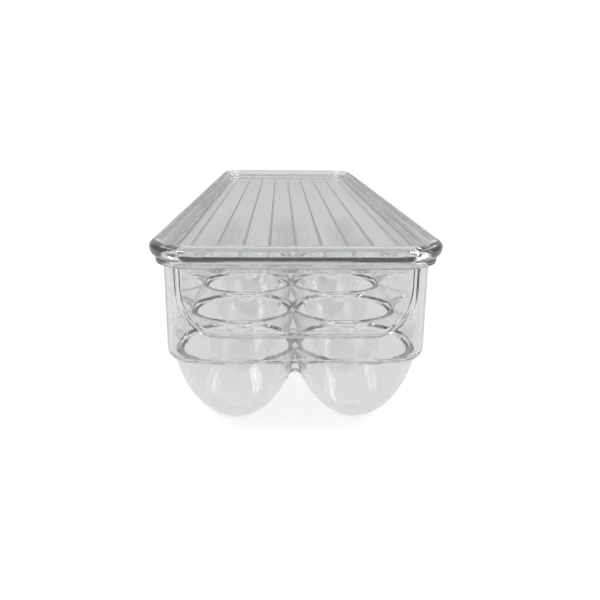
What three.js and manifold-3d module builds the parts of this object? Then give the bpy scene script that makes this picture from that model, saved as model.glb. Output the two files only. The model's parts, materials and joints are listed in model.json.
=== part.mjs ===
// Covered egg tray: a clear moulded tray with two columns of egg cups, and a clear lid that lifts off.
// Millimetres, +Z up, length along Y. The grip end of the tray and lid faces -Y.
// The origin is on the surface that the cups stand on, under the middle of the lid's outline.

import * as THREE from 'three';
import { mergeVertices } from 'three/addons/utils/BufferGeometryUtils.js';
import Module from 'manifold-3d';

// ---- Egg cups ----
const CUP_COLUMNS = 2;
const CUP_ROWS = 7;
const CUP_PITCH_ACROSS = 50.2;
const CUP_PITCH_ALONG = 51;
const CUP_LAND = 1.4; // flat strip left between the two columns' rims
const CUP_LEDGE_WIDTH = 2; // ring just inside each opening, a little below the deck
const CUP_LEDGE_DROP = 2.2;
const CUP_LEDGE_RISE = 0.4; // the ring slopes down to the cup
const CUP_LEDGE_TAPER = 0.3; // and the short wall above it leans out
const CUP_SPREAD = 2.5; // cup's outside, at its widest, past the edge of its opening
const CUP_BELLY_HEIGHT = 40; // where the cup would be widest, if the deck didn't cut it off
const CUP_FOOT_RADIUS = 5.9; // flat disc that the cup stands on
const CUP_ROUNDNESS = 1.95; // 2 is a ball, less is more pointed
const CUP_FLOOR = 2;
const WEB_BASE = 19.5; // lower edge of the web between the two columns' cups
const WEB_WIDTH = 4;
const WEB_LENGTH = 6;

// ---- Tray ----
const DECK_HEIGHT = 33; // top of the flat deck between the cups
const DECK_THICKNESS = 2;
const TRAY_HEIGHT = 72.5; // top of the flange
const WALL = 2;
const WALL_CORNER = 14; // outer radius of the upright corners
const SHOULDER = 4; // rounding where the walls turn into the deck
const FLANGE_OUT = 3;
const FLANGE_THICKNESS = 2.5;

// ---- Finger recess in the grip end ----
const GRIP_DEPTH = 1.6;
const GRIP_MARGIN = 7.5; // wall left on each side of the recess
const GRIP_SILL_RISE = 11; // recess's lower edge above the deck
const GRIP_CORNER_WIDTH = 15;
const GRIP_CORNER_HEIGHT = 19;

// ---- Lid ----
const SEAT_GAP = 0.3; // lid above the flange
const LID_OVERHANG = 2.1; // rim past the flange
const LID_RIM_HEIGHT = 6;
const LID_RIM_WIDTH = 5;
const LID_RIM_ROUNDING = 1.5;
const STEP_DROP = 2.4; // rim top down to the narrow shelf inside it
const PANEL_DROP = 5.3; // rim top down to the sunken panel
const PANEL_THICKNESS = 2;
const PLUG_CLEARANCE = 0.7; // locating skirt inside the tray walls
const PLUG_WALL = 1.8;
const PLUG_DEPTH = 5.8; // below the flange top
const LIP_OUT = 1.5; // pull lip past the rim
const LIP_HEIGHT = 5.8;
const LIP_MARGIN = 0.6; // recess past each end of the lip
const RIB_COUNT = 9;
const RIB_EDGE = 4.2; // panel's long edge in to the first rib
const RIB_WIDTH = 1.2;
const RIB_DEPTH = 1.2;

// ---- Smoothness of the curved faces ----
const CUP_SIDES = 16;
const CUP_BANDS = 4;
const CORNER_STEPS = 3;

const CUP_RIM_RADIUS = (Math.min(CUP_PITCH_ACROSS, CUP_PITCH_ALONG) - CUP_LAND) / 2;
const CUP_INNER_RADIUS = CUP_RIM_RADIUS - CUP_LEDGE_WIDTH;
const CUP_OUTER_RADIUS = CUP_RIM_RADIUS + CUP_SPREAD;
const INSIDE_HALF_WIDTH = ((CUP_COLUMNS - 1) / 2) * CUP_PITCH_ACROSS + CUP_RIM_RADIUS;
const INSIDE_HALF_LENGTH = ((CUP_ROWS - 1) / 2) * CUP_PITCH_ALONG + CUP_RIM_RADIUS;
const INSIDE_CORNER = WALL_CORNER - WALL;
const LID_BASE = TRAY_HEIGHT + SEAT_GAP;
const LID_TOP = LID_BASE + LID_RIM_HEIGHT;
const PANEL_TOP = LID_TOP - PANEL_DROP;
const PANEL_BOTTOM = PANEL_TOP - PANEL_THICKNESS;
const LID_MARGIN = WALL + FLANGE_OUT + LID_OVERHANG; // rim edge past the inside of the walls
const PANEL_HALF_WIDTH = INSIDE_HALF_WIDTH - PLUG_CLEARANCE - PLUG_WALL;
const RIB_PITCH = (2 * (PANEL_HALF_WIDTH - RIB_EDGE)) / (RIB_COUNT - 1);
const GRIP_HALF_WIDTH = INSIDE_HALF_WIDTH + WALL - GRIP_MARGIN;
const GRIP_SILL = DECK_HEIGHT + GRIP_SILL_RISE;
const FLANGE_BASE = TRAY_HEIGHT - FLANGE_THICKNESS;

const library = await Module();
library.setup();

// Turns a closed three.js geometry into a solid that can be joined and cut.
function solid(geometry) {
  const bare = geometry.clone();
  bare.deleteAttribute('normal');
  bare.deleteAttribute('uv');
  const merged = mergeVertices(bare, 1e-4);
  const vertProperties = Float32Array.from(merged.attributes.position.array);
  const triVerts = Uint32Array.from(merged.index.array);
  return new library.Manifold(new library.Mesh({ numProp: 3, vertProperties, triVerts }));
}

function joined(pieces) {
  return pieces.reduce((whole, piece) => whole.add(piece));
}

// Turns a finished solid back into a named mesh with its own material.
function meshOf(body, name, material) {
  const { vertProperties, triVerts } = body.getMesh();
  const geometry = new THREE.BufferGeometry();
  geometry.setAttribute('position', new THREE.BufferAttribute(Float32Array.from(vertProperties), 3));
  geometry.setIndex(new THREE.BufferAttribute(Uint32Array.from(triVerts), 1));
  geometry.computeVertexNormals();
  const mesh = new THREE.Mesh(geometry, material);
  mesh.name = name;
  return mesh;
}

// A rectangle with round corners, centred on the tray.
function roundedRectangle(halfWidth, halfLength, corner) {
  const x = halfWidth - corner;
  const y = halfLength - corner;
  const outline = new THREE.Shape();
  outline.absarc(x, -y, corner, -Math.PI / 2, 0, false);
  outline.absarc(x, y, corner, 0, Math.PI / 2, false);
  outline.absarc(-x, y, corner, Math.PI / 2, Math.PI, false);
  outline.absarc(-x, -y, corner, Math.PI, 1.5 * Math.PI, false);
  outline.closePath();
  return outline;
}

// The tray's own outline, moved outwards (or inwards) from the inside of its walls.
function trayOutline(outwards) {
  return roundedRectangle(
    INSIDE_HALF_WIDTH + outwards,
    INSIDE_HALF_LENGTH + outwards,
    INSIDE_CORNER + outwards,
  );
}

// The outline of the lid's skirt, which also stays clear of the back of the finger recess.
function plugOutline(outwards) {
  return roundedRectangle(
    INSIDE_HALF_WIDTH + outwards,
    INSIDE_HALF_LENGTH + outwards - GRIP_DEPTH,
    INSIDE_CORNER + outwards,
  );
}

function slab(outline, low, high) {
  const geometry = new THREE.ExtrudeGeometry(outline, {
    depth: high - low,
    bevelEnabled: false,
    curveSegments: CORNER_STEPS,
  });
  return solid(geometry.translate(0, 0, low));
}

// A slab whose lower and upper edges are rounded by a radius.
function roundedSlab(outwards, low, high, radius) {
  const geometry = new THREE.ExtrudeGeometry(trayOutline(outwards - radius), {
    depth: high - low - 2 * radius,
    bevelEnabled: true,
    bevelSize: radius,
    bevelThickness: radius,
    bevelSegments: 2,
    curveSegments: CORNER_STEPS,
  });
  return solid(geometry.translate(0, 0, low + radius));
}

// How deep a cup's curve would reach below its widest ring, if its foot had no flat disc.
function cupDepth(floor) {
  const footShare = (CUP_FOOT_RADIUS / CUP_OUTER_RADIUS) ** CUP_ROUNDNESS;
  return (CUP_BELLY_HEIGHT - floor) / (1 - footShare) ** (1 / CUP_ROUNDNESS);
}

// Part of the widest radius that the curve has at a height.
function cupShare(floor, height) {
  const fall = (CUP_BELLY_HEIGHT - height) / cupDepth(floor);
  return (1 - fall ** CUP_ROUNDNESS) ** (1 / CUP_ROUNDNESS);
}

// Half of a cup's outline, from its foot up to a given radius and height: pointed like an egg.
function cupCurve(topRadius, floor, top) {
  const depth = cupDepth(floor);
  const widest = topRadius / cupShare(floor, top);
  const footAngle = Math.acos(((CUP_BELLY_HEIGHT - floor) / depth) ** (CUP_ROUNDNESS / 2));
  const topAngle = Math.acos(((CUP_BELLY_HEIGHT - top) / depth) ** (CUP_ROUNDNESS / 2));
  const points = [];
  for (let band = 0; band <= CUP_BANDS; band += 1) {
    const angle = footAngle + ((topAngle - footAngle) * band) / CUP_BANDS;
    const r = widest * Math.sin(angle) ** (2 / CUP_ROUNDNESS);
    const z = CUP_BELLY_HEIGHT - depth * Math.cos(angle) ** (2 / CUP_ROUNDNESS);
    points.push(new THREE.Vector2(r, z));
  }
  return points;
}

function turned(profile) {
  return solid(new THREE.LatheGeometry(profile, CUP_SIDES).rotateX(Math.PI / 2));
}

function cupOutside() {
  const top = DECK_HEIGHT - DECK_THICKNESS / 2;
  return turned([
    new THREE.Vector2(0, 0),
    ...cupCurve(CUP_OUTER_RADIUS * cupShare(0, top), 0, top),
    new THREE.Vector2(0, top),
  ]);
}

function cupInside() {
  const ledge = DECK_HEIGHT - CUP_LEDGE_DROP;
  const above = DECK_HEIGHT + CUP_LEDGE_DROP;
  return turned([
    new THREE.Vector2(0, CUP_FLOOR),
    ...cupCurve(CUP_INNER_RADIUS, CUP_FLOOR, ledge),
    new THREE.Vector2(CUP_RIM_RADIUS - CUP_LEDGE_TAPER, ledge + CUP_LEDGE_RISE),
    new THREE.Vector2(CUP_RIM_RADIUS, DECK_HEIGHT),
    new THREE.Vector2(CUP_RIM_RADIUS, above),
    new THREE.Vector2(0, above),
  ]);
}

// A copy of one solid at each place of a grid of columns and rows, centred on the tray.
function onGrid(body, columns, rows) {
  const copies = [];
  for (let row = 0; row < rows; row += 1) {
    for (let column = 0; column < columns; column += 1) {
      const x = (column - (columns - 1) / 2) * CUP_PITCH_ACROSS;
      const y = (row - (rows - 1) / 2) * CUP_PITCH_ALONG;
      copies.push(body.translate([x, y, 0]));
    }
  }
  return joined(copies);
}

// A short upright web in each row that ties the two columns' cups together below the deck.
function cupWebs() {
  const height = DECK_HEIGHT - WEB_BASE - DECK_THICKNESS / 2;
  const middle = WEB_BASE + height / 2;
  const web = solid(new THREE.BoxGeometry(WEB_WIDTH, WEB_LENGTH, height).translate(0, 0, middle));
  return onGrid(web, CUP_COLUMNS - 1, CUP_ROWS);
}

// The recess's outline on the end wall, up to a level, with two round lower corners.
function gripBlock(outwards, fromY, toY, top) {
  const side = GRIP_HALF_WIDTH + outwards;
  const sill = GRIP_SILL - outwards;
  const across = GRIP_CORNER_WIDTH + outwards;
  const up = Math.min(GRIP_CORNER_HEIGHT, FLANGE_BASE - GRIP_SILL) + outwards;
  const quarter = Math.PI / 2;
  const outline = new THREE.Shape();
  outline.moveTo(side, top);
  outline.lineTo(-side, top);
  outline.absellipse(-side + across, sill + up, across, up, 2 * quarter, 3 * quarter, false, 0);
  outline.absellipse(side - across, sill + up, across, up, 3 * quarter, 4 * quarter, false, 0);
  outline.closePath();
  const geometry = new THREE.ExtrudeGeometry(outline, {
    depth: toY - fromY,
    bevelEnabled: false,
    curveSegments: CORNER_STEPS,
  });
  return solid(geometry.rotateX(Math.PI / 2).translate(0, toY, 0));
}

// Walls, flange, deck and cups: one moulding.
function trayBody() {
  const walls = roundedSlab(WALL, DECK_HEIGHT - DECK_THICKNESS, TRAY_HEIGHT + SHOULDER, SHOULDER);
  const headroom = slab(trayOutline(WALL + SHOULDER), TRAY_HEIGHT, TRAY_HEIGHT + 2 * SHOULDER);
  const flange = slab(trayOutline(WALL + FLANGE_OUT), FLANGE_BASE, TRAY_HEIGHT);
  const inside = slab(trayOutline(0), DECK_HEIGHT, TRAY_HEIGHT + SHOULDER);
  const outerFace = -(INSIDE_HALF_LENGTH + WALL);
  const recessFace = outerFace + GRIP_DEPTH;
  const backing = gripBlock(WALL, outerFace, recessFace + WALL, TRAY_HEIGHT);
  const recess = gripBlock(0, outerFace - 1, recessFace, FLANGE_BASE);
  return walls
    .subtract(headroom)
    .add(flange)
    .subtract(inside)
    .add(backing)
    .subtract(recess)
    .add(onGrid(cupOutside(), CUP_COLUMNS, CUP_ROWS))
    .add(cupWebs())
    .subtract(onGrid(cupInside(), CUP_COLUMNS, CUP_ROWS));
}

// The pull lip over the finger recess: a longer stretch of rim with round ends.
function lidLip() {
  const rimEnd = INSIDE_HALF_LENGTH + LID_MARGIN;
  const inner = LID_RIM_WIDTH / 2;
  const halfDepth = (inner + LIP_OUT) / 2;
  const outline = roundedRectangle(GRIP_HALF_WIDTH - LIP_MARGIN, halfDepth, halfDepth);
  return slab(outline, LID_BASE, LID_BASE + LIP_HEIGHT)
    .translate([0, halfDepth - rimEnd - LIP_OUT, 0]);
}

// Ribs under the panel, from one end of the skirt to the other.
function lidRibs() {
  const ribs = [];
  for (let rib = 0; rib < RIB_COUNT; rib += 1) {
    const bar = new THREE.BoxGeometry(RIB_WIDTH, 2 * INSIDE_HALF_LENGTH, 2 * RIB_DEPTH);
    const x = (rib - (RIB_COUNT - 1) / 2) * RIB_PITCH;
    ribs.push(solid(bar.translate(x, 0, PANEL_BOTTOM)));
  }
  const middleOfSkirt = plugOutline(-PLUG_CLEARANCE - PLUG_WALL / 2);
  return joined(ribs).intersect(slab(middleOfSkirt, PANEL_BOTTOM - RIB_DEPTH, PANEL_TOP));
}

// Rim, step, sunken panel, locating skirt, ribs and pull lip: one moulding.
function lidBody() {
  const plugOutside = -PLUG_CLEARANCE;
  const plugInside = plugOutside - PLUG_WALL;
  const plugBottom = TRAY_HEIGHT - PLUG_DEPTH;
  const rim = roundedSlab(LID_MARGIN, LID_BASE, LID_TOP, LID_RIM_ROUNDING);
  const step = slab(trayOutline(LID_MARGIN - LID_RIM_WIDTH), LID_TOP - STEP_DROP, LID_TOP + 1);
  const plug = slab(plugOutline(plugOutside), plugBottom, LID_BASE + 1);
  const wellAbove = slab(plugOutline(plugInside), PANEL_TOP, LID_TOP + 1);
  const wellBelow = slab(plugOutline(plugInside), plugBottom - 1, PANEL_BOTTOM);
  return rim
    .subtract(step)
    .add(plug)
    .subtract(wellAbove)
    .subtract(wellBelow)
    .add(lidRibs())
    .add(lidLip());
}

const clearTray = new THREE.MeshStandardMaterial({
  color: 0xdfe0e0,
  roughness: 0.08,
  metalness: 0,
  transparent: true,
  opacity: 0.4,
});

const clearLid = new THREE.MeshStandardMaterial({
  color: 0xc6cacc,
  roughness: 0.08,
  metalness: 0,
  transparent: true,
  opacity: 0.45,
});

const group = new THREE.Group();
group.add(meshOf(trayBody(), 'tray', clearTray));
group.add(meshOf(lidBody(), 'lid', clearLid));
group.position.y = LIP_OUT / 2;

export default group;
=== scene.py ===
import json
import math

import bmesh
import bpy
from mathutils import Matrix, Vector


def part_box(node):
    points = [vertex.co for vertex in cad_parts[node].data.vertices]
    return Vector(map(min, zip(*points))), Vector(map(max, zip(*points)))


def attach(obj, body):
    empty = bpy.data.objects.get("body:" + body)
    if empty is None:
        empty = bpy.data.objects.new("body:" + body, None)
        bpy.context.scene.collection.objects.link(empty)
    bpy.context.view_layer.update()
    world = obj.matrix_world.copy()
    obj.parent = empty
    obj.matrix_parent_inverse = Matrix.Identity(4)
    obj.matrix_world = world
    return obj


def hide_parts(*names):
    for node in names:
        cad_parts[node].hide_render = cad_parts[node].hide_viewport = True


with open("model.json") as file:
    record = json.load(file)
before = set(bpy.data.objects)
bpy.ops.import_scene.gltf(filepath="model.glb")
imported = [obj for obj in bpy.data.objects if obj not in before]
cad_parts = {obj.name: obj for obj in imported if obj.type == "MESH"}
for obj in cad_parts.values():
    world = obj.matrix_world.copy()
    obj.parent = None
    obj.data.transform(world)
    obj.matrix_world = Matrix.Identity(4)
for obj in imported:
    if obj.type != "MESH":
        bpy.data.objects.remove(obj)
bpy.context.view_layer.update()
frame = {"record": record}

MM = 0.001


# The studio: a pale floor that runs on out of sight, two soft strip lamps, and a white backdrop
# that only the camera sees. The plastic shows softer surroundings instead, pale overhead and
# beyond the tray, dark at the sides and behind the camera, which draw its edges.

camera_place = Vector((-6.4, -405.6, 122.3)) * MM
camera_pitch = math.radians(-15.86)
camera_yaw = math.radians(-1.87)
camera_roll = math.radians(0.51)
camera_lens = 37.8
backdrop_light = 1.05
ground_light = 0.96
floor_glow = 0.82
lamp_power = 4
clear_bounces = 32


def deselect():
    if bpy.context.object and bpy.context.object.mode == "EDIT":
        bpy.ops.object.mode_set(mode="OBJECT")
    bpy.ops.object.select_all(action="DESELECT")


deselect()
bpy.ops.object.camera_add(location=camera_place)
camera = bpy.context.object
camera.matrix_world = (
    Matrix.Translation(camera_place)
    @ Matrix.Rotation(camera_yaw, 4, "Z")
    @ Matrix.Rotation(math.radians(90) + camera_pitch, 4, "X")
    @ Matrix.Rotation(camera_roll, 4, "Z")
)
camera.data.lens = camera_lens
camera.data.sensor_width = 36
camera.data.clip_start = 0.01
bpy.context.scene.camera = camera


class Field:
    """One output of a shader node, with sums that add Math nodes."""

    def __init__(self, graph, socket):
        self.graph = graph
        self.socket = socket

    def math(self, operation, *others):
        values = {index + 1: other for index, other in enumerate(others)}
        return self.graph.node("ShaderNodeMath", {"operation": operation}, {0: self, **values})

    def __add__(self, other):
        return self.math("ADD", other)

    def __radd__(self, other):
        return self.math("ADD", other)

    def __mul__(self, other):
        return self.math("MULTIPLY", other)

    def __rmul__(self, other):
        return self.math("MULTIPLY", other)

    def __rsub__(self, other):
        return self.math("MULTIPLY", -1).math("ADD", other)


class Graph:
    """A material's or world's nodes: node() adds any node, with its settings, then its sockets."""

    def __init__(self, owner):
        owner.use_nodes = True
        self.tree = owner.node_tree
        self.tree.nodes.clear()

    def node(self, kind, settings=None, sockets=None, output=0):
        made = self.tree.nodes.new(kind)
        for name, value in (settings or {}).items():
            setattr(made, name, value)
        for name, value in (sockets or {}).items():
            if isinstance(value, Field):
                self.tree.links.new(value.socket, made.inputs[name])
            else:
                made.inputs[name].default_value = value
        return Field(self, made.outputs[output]) if made.outputs else None


def fade(value, low, high, start, end):
    """A level that goes smoothly from start to end as a value goes from low to high."""
    return value.graph.node(
        "ShaderNodeMapRange", {"interpolation_type": "SMOOTHSTEP"},
        {"Value": value, "From Min": low, "From Max": high, "To Min": start, "To Max": end},
    )


world = bpy.data.worlds.new("studio")
bpy.context.scene.world = world
sky = Graph(world)
direction = sky.node("ShaderNodeTexCoord", output="Generated")
upwards = sky.node("ShaderNodeSeparateXYZ", sockets={0: direction}, output="Z")
beyond = sky.node("ShaderNodeSeparateXYZ", sockets={0: direction}, output="Y")
sideways = sky.node("ShaderNodeSeparateXYZ", sockets={0: direction}, output="X").math("ABSOLUTE")
overhead = fade(upwards, 0.3, 0.8, 0.0, 0.5)
far_side = fade(beyond, -0.5, 0.5, 0.12, 0.74)
side_flags = fade(sideways, 0.5, 0.85, 1.0, 0.15)
ground = fade(upwards, -0.12, 0.0, 1.0, 0.0)
strength = ground_light * ground + (1 - ground) * far_side * side_flags + overhead
surroundings = sky.node("ShaderNodeBackground", sockets={"Strength": strength})
backdrop = sky.node(
    "ShaderNodeBackground", sockets={"Color": (1, 1, 1, 1), "Strength": backdrop_light})
seen = sky.node("ShaderNodeLightPath", output="Is Camera Ray")
studio = sky.node("ShaderNodeMixShader", sockets={0: seen, 1: surroundings, 2: backdrop})
sky.node("ShaderNodeOutputWorld", sockets={"Surface": studio})

bpy.ops.mesh.primitive_plane_add(size=60, location=(0, 0, 0))
floor = bpy.context.object
floor.name = "studio_floor"
floor_paint = bpy.data.materials.new("pale_floor")
paint = Graph(floor_paint)
grain = paint.node("ShaderNodeTexNoise", sockets={"Scale": 3.0, "Detail": 2.0})
tone = paint.node(
    "ShaderNodeMix", {"data_type": "RGBA"},
    {"Factor": grain, "A": (0.34, 0.34, 0.34, 1), "B": (0.36, 0.36, 0.36, 1)}, output="Result",
)
matt = paint.node("ShaderNodeBsdfPrincipled", sockets={
    "Base Color": tone, "Roughness": 0.9, "Specular IOR Level": 0.0,
    "Emission Color": (1, 1, 1, 1), "Emission Strength": floor_glow,
})
paint.node("ShaderNodeOutputMaterial", sockets={"Surface": matt})
floor.data.materials.append(floor_paint)
floor.visible_transmission = False
floor.visible_glossy = False

for name, place, tilt in (
    ("left_strip", (-0.75, -0.35, 0.65), -0.9),
    ("right_strip", (0.8, 0.1, 0.6), 0.95),
):
    bpy.ops.object.light_add(type="AREA", location=place, rotation=(0, tilt, 0))
    lamp = bpy.context.object
    lamp.name = name
    lamp.data.shape = "RECTANGLE"
    lamp.data.size = 0.2
    lamp.data.size_y = 1.1
    lamp.data.energy = lamp_power

bpy.context.scene.view_settings.view_transform = "Standard"
bpy.context.scene.cycles.max_bounces = clear_bounces
bpy.context.scene.cycles.transmission_bounces = clear_bounces
bpy.context.scene.cycles.glossy_bounces = 16
bpy.context.scene.cycles.diffuse_bounces = 12


# The tray's walls, flange and deck: the top of one clear injection moulding. A block with round
# corners and a rolled shoulder takes its flange, and is then hollowed down to the deck.

CORNER_SEGMENTS = 14
tray_low, tray_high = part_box("tray")
cup_boxes = {box["name"]: box["box_m"] for box in frame["record"]["physics"]["openings"]}
wall = 2 * MM
wall_corner = 14 * MM
shoulder = 4 * MM
deck_height = cup_boxes["first_left_cup"][1][2]
deck_thickness = 2 * MM
deck_fillet = 0.8 * MM
flange_out = 3 * MM
flange_thickness = 2.5 * MM
flange_lower_edge = 0.9 * MM
flange_upper_edge = 0.7 * MM
half_width = (tray_high.x - tray_low.x) / 2 - flange_out
half_length = (tray_high.y - tray_low.y) / 2 - flange_out
middle_y = (tray_low.y + tray_high.y) / 2
rim_height = tray_high.z
walls_top = rim_height - 1 * MM
above_rim = rim_height + 5 * MM
CLOSE = 1e-6


def choose(piece, kind, test):
    """In edit mode, selects the vertices, edges or faces that pass a test, and nothing else."""
    mode = {"verts": "VERT", "edges": "EDGE", "faces": "FACE"}[kind]
    bpy.ops.mesh.select_mode(type=mode)
    bpy.ops.mesh.select_all(action="DESELECT")
    mesh = bmesh.from_edit_mesh(piece.data)
    for part in getattr(mesh, kind):
        part.select = bool(test(part))
    mesh.select_flush_mode()
    bmesh.update_edit_mesh(piece.data)


def level(height):
    """A test for edges and faces that lie at one height."""
    return lambda part: all(abs(vertex.co.z - height) < CLOSE for vertex in part.verts)


def settle(piece, name):
    """Leaves edit mode and puts the finished shape's place into its mesh."""
    bpy.ops.object.mode_set(mode="OBJECT")
    bpy.ops.object.transform_apply(location=True, rotation=True, scale=True)
    piece.name = name
    return piece


def rounded_block(name, half_width, half_length, corner, low, high, lower_round=0, upper_round=0):
    """A block round the tray's middle with round upright corners. Its edges may be rolled."""
    deselect()
    bpy.ops.mesh.primitive_plane_add(size=2, location=(0, middle_y, low))
    block = bpy.context.object
    block.scale = (half_width, half_length, 1)
    bpy.ops.object.transform_apply(location=True, rotation=True, scale=True)
    bpy.ops.object.mode_set(mode="EDIT")
    bpy.ops.mesh.select_all(action="SELECT")
    bpy.ops.mesh.bevel(offset=corner, segments=CORNER_SEGMENTS, affect="VERTICES")
    bpy.ops.mesh.select_all(action="SELECT")
    bpy.ops.mesh.extrude_region_move(TRANSFORM_OT_translate={"value": (0, 0, high - low)})
    bpy.ops.mesh.select_all(action="SELECT")
    bpy.ops.mesh.normals_make_consistent(inside=False)
    for height, roll in ((low, lower_round), (high, upper_round)):
        if roll:
            choose(block, "edges", level(height))
            bpy.ops.mesh.bevel(offset=roll, segments=6, affect="EDGES")
    return settle(block, name)


def combine(piece, tool, operation, crossing=False):
    """Joins or cuts a piece with a tool shape, which is then thrown away. Crossing says that the
    tool is made of shapes that run into each other."""
    deselect()
    bpy.context.view_layer.objects.active = piece
    piece.select_set(True)
    step = piece.modifiers.new("cut", "BOOLEAN")
    step.operation = operation
    step.solver = "EXACT"
    step.use_self = crossing
    step.object = tool
    bpy.ops.object.modifier_apply(modifier=step.name)
    bpy.data.objects.remove(tool, do_unlink=True)


tray = rounded_block("clear_tray", half_width, half_length, wall_corner,
                     deck_height - deck_thickness, walls_top, lower_round=shoulder)
flange = rounded_block("flange", half_width + flange_out, half_length + flange_out,
                       wall_corner + flange_out, rim_height - flange_thickness, rim_height,
                       flange_lower_edge, flange_upper_edge)
combine(tray, flange, "UNION")
inside = rounded_block("inside", half_width - wall, half_length - wall, wall_corner - wall,
                       deck_height, above_rim, lower_round=deck_fillet)
combine(tray, inside, "DIFFERENCE")


# The finger recess in the grip end, part of the same moulding: the end wall steps in behind the
# lid's lip, at one thickness, with a narrow sill and two oval lower corners.

recess_depth = 1.6 * MM
recess_half_width = half_width - 7.5 * MM
recess_sill = deck_height + 11 * MM
recess_corner_width = 15 * MM
recess_corner_height = 19 * MM
end_face = middle_y - half_length
recess_face = end_face + recess_depth
backing_start = end_face + 0.5 * MM
backing_top = rim_height - 0.3 * MM
backing_edge = 0.9 * MM
recess_edge = 0.5 * MM


def runs_along(edge):
    """Whether an edge runs along the tray, and not across or upright."""
    return abs(edge.verts[0].co.y - edge.verts[1].co.y) > 10 * CLOSE


def stands_at(place):
    """A test for edges that lie in one upright plane across the tray."""
    return lambda edge: all(abs(vertex.co.y - place) < CLOSE for vertex in edge.verts)


def recess_block(name, outwards, near, far, top, edge_round):
    """A block with two oval lower corners, whose inner face has rolled edges."""
    deselect()
    width = 2 * (recess_half_width + outwards)
    sill = recess_sill - outwards
    corner = recess_corner_width + outwards
    stretch = (recess_corner_height + outwards) / corner
    tall = (top - sill) / stretch
    bpy.ops.mesh.primitive_cube_add(size=1, location=(0, (near + far) / 2, sill + tall / 2))
    block = bpy.context.object
    block.scale = (width, far - near, tall)
    bpy.ops.object.transform_apply(location=True, rotation=True, scale=True)
    bpy.ops.object.mode_set(mode="EDIT")
    choose(block, "edges", lambda edge: level(sill)(edge) and runs_along(edge))
    bpy.ops.mesh.bevel(offset=corner, segments=CORNER_SEGMENTS, affect="EDGES")
    bpy.ops.mesh.select_all(action="SELECT")
    bpy.ops.transform.resize(value=(1, 1, stretch), center_override=(0, 0, sill))
    choose(block, "edges", lambda edge: stands_at(far)(edge)
           and min(vertex.co.z for vertex in edge.verts) < top - CLOSE)
    bpy.ops.mesh.bevel(offset=edge_round, segments=4, affect="EDGES")
    return settle(block, name)


backing = recess_block("recess_back", wall, backing_start, recess_face + wall, backing_top,
                       backing_edge)
combine(tray, backing, "UNION")
recess = recess_block("recess", 0, end_face - wall, recess_face, rim_height - flange_thickness,
                      recess_edge)
combine(tray, recess, "DIFFERENCE")


# The egg cups, moulded with the deck in two columns of seven. Each is pointed a little like an
# egg, stands on a flat disc, and opens in a ledge ring. An arched web ties each pair together.

CUP_SEGMENTS = 64
CUP_RINGS = 16
belly_height = 40 * MM
foot_radius = 5.9 * MM
foot_edge = 0.8 * MM
cup_radius = 26.9 * MM
cup_floor = 2 * MM
hollow_radius = 22.4 * MM
opening_radius = 24.4 * MM
ledge_drop = 2.2 * MM
ledge_rise = 0.4 * MM
ledge_taper = 0.3 * MM
roundness = 1.95
cup_rows = 7
web_width = 6.8 * MM
web_length = 6 * MM
web_low = 16.3 * MM
web_arch = 3.2 * MM


def middle_of(box):
    return (Vector(box[0]) + Vector(box[1])) / 2


def cup_curve(floor, top, top_radius=None):
    """Rings from the foot up to a height, as (radius, height): a pointed half egg."""
    foot_share = (foot_radius / cup_radius) ** roundness
    depth = (belly_height - floor) / (1 - foot_share) ** (1 / roundness)
    first = math.acos(((belly_height - floor) / depth) ** (roundness / 2))
    last = math.acos(((belly_height - top) / depth) ** (roundness / 2))
    widest = top_radius / math.sin(last) ** (2 / roundness) if top_radius else cup_radius
    rings = []
    for ring in range(CUP_RINGS + 1):
        angle = first + (last - first) * ring / CUP_RINGS
        across = widest * math.sin(angle) ** (2 / roundness)
        rings.append((across, belly_height - depth * math.cos(angle) ** (2 / roundness)))
    return rings


def repeat(piece, count, offset):
    """Copies a shape in a row, one offset apart, within its own mesh."""
    row = piece.modifiers.new("row", "ARRAY")
    row.count = count
    row.use_relative_offset = False
    row.use_constant_offset = True
    row.constant_offset_displace = offset
    bpy.ops.object.modifier_apply(modifier=row.name)


def turned_cups(name, rings, foot_height):
    """One closed round shape per cup, drawn ring by ring, with the foot's edge rolled."""
    deselect()
    radius, height = rings[0]
    bpy.ops.mesh.primitive_circle_add(vertices=CUP_SEGMENTS, radius=radius, fill_type="NGON",
                                      location=(first_cup.x, first_cup.y, height))
    cups = bpy.context.object
    bpy.ops.object.transform_apply(location=True, rotation=True, scale=True)
    bpy.ops.object.mode_set(mode="EDIT")
    bpy.ops.mesh.select_all(action="SELECT")
    for new_radius, new_height in rings[1:]:
        rise = (0, 0, new_height - height)
        bpy.ops.mesh.extrude_region_move(TRANSFORM_OT_translate={"value": rise})
        grow = new_radius / radius
        bpy.ops.transform.resize(value=(grow, grow, 1),
                                 center_override=(first_cup.x, first_cup.y, 0))
        radius, height = new_radius, new_height
    bpy.ops.mesh.select_all(action="SELECT")
    bpy.ops.mesh.normals_make_consistent(inside=False)
    choose(cups, "edges", level(foot_height))
    bpy.ops.mesh.bevel(offset=foot_edge, segments=3, affect="EDGES")
    settle(cups, name)
    repeat(cups, 2, (pitch_across, 0, 0))
    repeat(cups, cup_rows, (0, pitch_along, 0))
    return cups


first_cup = middle_of(cup_boxes["first_left_cup"])
pitch_across = middle_of(cup_boxes["first_right_cup"]).x - first_cup.x
pitch_along = middle_of(cup_boxes["second_left_cup"]).y - first_cup.y
cup_top = deck_height - deck_thickness / 2
cup_outsides = turned_cups("cup_outsides", cup_curve(0, cup_top), 0)
combine(tray, cup_outsides, "UNION", crossing=True)

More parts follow.
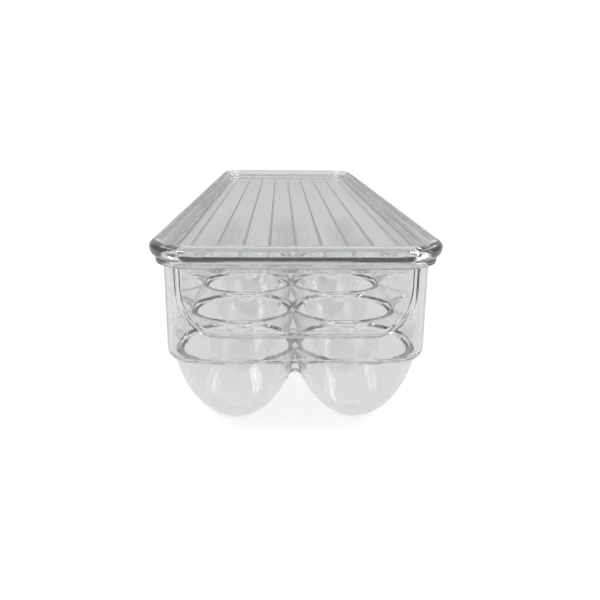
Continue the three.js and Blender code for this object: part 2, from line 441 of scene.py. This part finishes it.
deselect()
bpy.ops.mesh.primitive_cube_add(size=1, location=(0, first_cup.y, (web_low + cup_top) / 2))
webs = bpy.context.object
webs.scale = (web_width, web_length, cup_top - web_low)
bpy.ops.object.transform_apply(location=True, rotation=True, scale=True)
deselect()
bpy.ops.mesh.primitive_cylinder_add(vertices=48, radius=web_arch, depth=5 * web_length,
                                    location=(0, first_cup.y, web_low),
                                    rotation=(math.radians(90), 0, 0))
combine(webs, settle(bpy.context.object, "arch"), "DIFFERENCE")
repeat(webs, cup_rows, (0, pitch_along, 0))
combine(tray, webs, "UNION")

ledge = deck_height - ledge_drop
ledge_ring = [
    (opening_radius - ledge_taper, ledge + ledge_rise),
    (opening_radius, deck_height),
    (opening_radius, deck_height + 2 * MM),
]
cup_hollows = turned_cups(
    "cup_hollows", cup_curve(cup_floor, ledge, hollow_radius) + ledge_ring, cup_floor)
combine(tray, cup_hollows, "DIFFERENCE")


# The tray's finish: clear polished plastic with the faint haze and ripple that a moulding has.
# A small share of plain scattering keeps light alive in the thick edges.

def clear_plastic(name, tint, haze):
    material = bpy.data.materials.new(name)
    graph = Graph(material)
    place = graph.node("ShaderNodeTexCoord", output="Object")
    ripple = graph.node(
        "ShaderNodeTexNoise", sockets={"Vector": place, "Scale": 45.0, "Detail": 2.0})
    cloud = graph.node(
        "ShaderNodeTexNoise", sockets={"Vector": place, "Scale": 160.0, "Detail": 3.0})
    colour = graph.node(
        "ShaderNodeMix", {"data_type": "RGBA"},
        {"Factor": cloud, "A": (*tint, 1), "B": (*(0.985 * part for part in tint), 1)},
        output="Result",
    )
    bump = graph.node(
        "ShaderNodeBump", sockets={"Height": ripple, "Strength": 0.035, "Distance": 0.0005})
    plastic = graph.node("ShaderNodeBsdfPrincipled", sockets={
        "Base Color": colour,
        "Roughness": haze * (0.6 + 0.8 * cloud),
        "IOR": 1.49,
        "Transmission Weight": 0.975,
        "Normal": bump,
    })
    graph.node("ShaderNodeOutputMaterial", sockets={"Surface": plastic})
    return material


def finish_piece(piece, material, body, node):
    """Smooths the faces, gives the finish, and ties the piece to its body."""
    deselect()
    bpy.context.view_layer.objects.active = piece
    piece.select_set(True)
    piece.data.materials.clear()
    piece.data.materials.append(material)
    bpy.ops.object.shade_smooth_by_angle(angle=math.radians(28))
    weigh = piece.modifiers.new("weigh", "WEIGHTED_NORMAL")
    weigh.keep_sharp = True
    bpy.ops.object.modifier_apply(modifier=weigh.name)
    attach(piece, body)
    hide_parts(node)


finish_piece(tray, clear_plastic("clear_tray_plastic", (0.985, 0.988, 0.988), 0.018), "tray", "tray")


# The lid: a second clear moulding that rests on the flange. A thick round rim steps down to a
# shelf and a sunken panel, and a skirt below locates it inside the walls.

lid_low, lid_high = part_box("lid")
lid_base = rim_height + 0.3 * MM
lid_top = lid_high.z
lid_half_width = lid_high.x
lid_half_length = lid_high.y - middle_y
rim_out = lid_half_width - (half_width - wall)
lid_corner = wall_corner - wall + rim_out
widest_height = 76.2 * MM
widest_low = widest_height - 0.3 * MM
crest = (2.7 * MM, lid_top)
inner_slope = (4.7 * MM, lid_top - 1.5 * MM)
shelf = (6.9 * MM, lid_top - 2.5 * MM)
seat = (2.6 * MM, lid_base)
panel_top = lid_top - 5.3 * MM
panel_bottom = panel_top - 2 * MM
skirt_bottom = lid_low.z
skirt_outside = rim_out + 0.7 * MM
skirt_inside = skirt_outside + 1.8 * MM
skirt_edge = 0.6 * MM
end_setback = recess_depth


def quarter_arc(start, end, steps, level_at_end):
    """Points along a quarter of an ellipse after its start. It is level at its end, or its start."""
    points = []
    for step in range(1, steps + 1):
        angle = math.radians(90) * step / steps
        slow, quick = 1 - math.cos(angle), math.sin(angle)
        if not level_at_end:
            slow, quick = quick, slow
        points.append((start[0] + (end[0] - start[0]) * slow, start[1] + (end[1] - start[1]) * quick))
    return points


def shape_face(piece, start, rings):
    """Insets the flat face at one height again and again, to (inwards, height) in turn. A third
    number sets the two ends of the ring back by that much."""
    choose(piece, "faces", level(start))
    inwards, height = 0.0, start
    upward = 1 if rings[0][1] > start else -1
    for new_inwards, new_height, *setback in rings:
        bpy.ops.mesh.inset(thickness=new_inwards - inwards, depth=upward * (new_height - height))
        if setback:
            reach = lid_half_length - new_inwards
            shorter = (reach - setback[0]) / reach
            bpy.ops.transform.resize(value=(1, shorter, 1), center_override=(0, middle_y, 0))
        inwards, height = new_inwards, new_height


lid = rounded_block("clear_lid", lid_half_width, lid_half_length, lid_corner, widest_low,
                    widest_height)
bpy.ops.object.mode_set(mode="EDIT")
shape_face(lid, widest_height, [
    *quarter_arc((0, widest_height), crest, 6, True),
    *quarter_arc(crest, inner_slope, 4, False),
    *quarter_arc(inner_slope, shelf, 4, True),
    (7.5 * MM, lid_top - 2.9 * MM, end_setback),
    (8.3 * MM, panel_top + 0.5 * MM),
    (8.9 * MM, panel_top + 0.1 * MM),
    (9.7 * MM, panel_top),
])
shape_face(lid, widest_low, [
    *quarter_arc((0, widest_low), seat, 5, True),
    (skirt_outside - skirt_edge, lid_base),
    (skirt_outside, lid_base - 0.3 * MM, end_setback),
    (skirt_outside + 0.15 * MM, skirt_bottom + 0.5 * MM),
    (skirt_outside + skirt_edge, skirt_bottom),
    (skirt_inside - skirt_edge, skirt_bottom),
    (skirt_inside - 0.15 * MM, skirt_bottom + 0.5 * MM),
    (skirt_inside, panel_bottom - skirt_edge),
    (skirt_inside + 0.5 * MM, panel_bottom),
])
bpy.ops.object.mode_set(mode="OBJECT")


# The nine ribs that stiffen the lid's panel, moulded under it from one end of the skirt to the
# other, with round lower edges.

rib_count = 9
rib_width = 1.2 * MM
rib_depth = 1.2 * MM
rib_edge = 0.5 * MM
rib_margin = 4.2 * MM
rib_end = 0.9 * MM
rib_low = panel_bottom - rib_depth
rib_reach = lid_half_width - skirt_inside - rib_margin
rib_length = 2 * (lid_half_length - skirt_inside - end_setback + rib_end)
deselect()
bpy.ops.mesh.primitive_cube_add(size=1, location=(-rib_reach, middle_y, panel_bottom))
ribs = bpy.context.object
ribs.scale = (rib_width, rib_length, 2 * rib_depth)
bpy.ops.object.transform_apply(location=True, rotation=True, scale=True)
bpy.ops.object.mode_set(mode="EDIT")
choose(ribs, "edges", lambda edge: level(rib_low)(edge) and runs_along(edge))
bpy.ops.mesh.bevel(offset=rib_edge, segments=4, affect="EDGES")
settle(ribs, "ribs")
repeat(ribs, rib_count, (2 * rib_reach / (rib_count - 1), 0, 0))
combine(lid, ribs, "UNION")


# The pull lip, moulded with the lid: a long pad that stands out from the rim over the finger
# recess, with a sloping upper front, a rolled lower front and round ends.

lip_low = lid_base
lip_high = lid_base + 5.8 * MM
lip_front = lid_low.y
lip_back = middle_y - lid_half_length + 2.5 * MM
lip_half_width = recess_half_width - 0.6 * MM
lip_lower_end = 3.4 * MM
lip_upper_end = 1.4 * MM
lip_slope = 1.9 * MM
lip_roll = 1.2 * MM
deselect()
bpy.ops.mesh.primitive_cube_add(
    size=1, location=(0, (lip_front + lip_back) / 2, (lip_low + lip_high) / 2))
lip = bpy.context.object
lip.scale = (2 * lip_half_width, lip_back - lip_front, lip_high - lip_low)
bpy.ops.object.transform_apply(location=True, rotation=True, scale=True)
bpy.ops.object.mode_set(mode="EDIT")
for end_height, end_round in ((lip_low, lip_lower_end), (lip_high, lip_upper_end)):
    choose(lip, "edges", lambda edge: level(end_height)(edge) and runs_along(edge))
    bpy.ops.mesh.bevel(offset=end_round, segments=10, affect="EDGES")
choose(lip, "edges", lambda edge: level(lip_high)(edge) and stands_at(lip_front)(edge))
bpy.ops.mesh.bevel(offset=lip_slope, segments=1, affect="EDGES")
choose(lip, "edges", lambda edge: stands_at(lip_front)(edge)
       and max(vertex.co.z for vertex in edge.verts) < lip_high - lip_slope - 0.1 * MM)
bpy.ops.mesh.bevel(offset=lip_roll, segments=8, affect="EDGES")
settle(lip, "lip")
combine(lid, lip, "UNION")
finish_piece(lid, clear_plastic("clear_lid_plastic", (0.93, 0.94, 0.95), 0.035), "lid", "lid")
